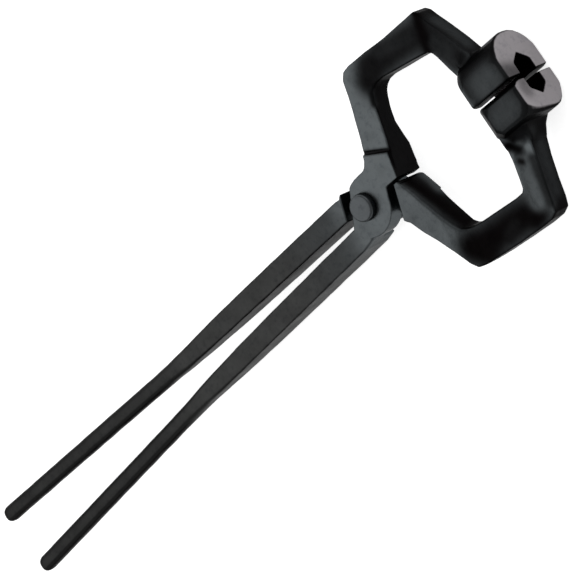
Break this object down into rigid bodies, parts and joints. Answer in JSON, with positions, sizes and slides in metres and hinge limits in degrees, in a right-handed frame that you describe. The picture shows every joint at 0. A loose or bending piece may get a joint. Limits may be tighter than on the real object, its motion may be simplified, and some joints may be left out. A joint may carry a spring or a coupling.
{
  "type": "blacksmith bolt tongs",
  "caption": "Forged tongs on one rivet with a notched V jaw that grips bar in line with the reins and an angular bow that clears a bolt head.",
  "frame": {"origin": "centre of the flat on the rivet's peened tail, on the pivot axis under the joint", "axes": "+X along the tool from the rivet to the jaws, +Y towards the upper half's arm, +Z along the rivet from its tail to its head"},
  "size_m": [0.4834, 0.1184, 0.034],
  "materials": {
    "forged_steel": "black forging finish, satin, a little mottled",
    "rivet_steel": "black, satin, hammered smooth"
  },
  "bodies": {
    "lower": {"lower_half": "forged_steel", "rivet": "rivet_steel"},
    "upper": {"upper_half": "forged_steel"}
  },
  "joints": [
    {"name": "tongs_pivot", "type": "hinge", "parent": "lower", "child": "upper", "pos_m": [0, 0, 0.0128], "axis": [0, 0, 1], "range_deg": [-0.75, 45]}
  ]
}
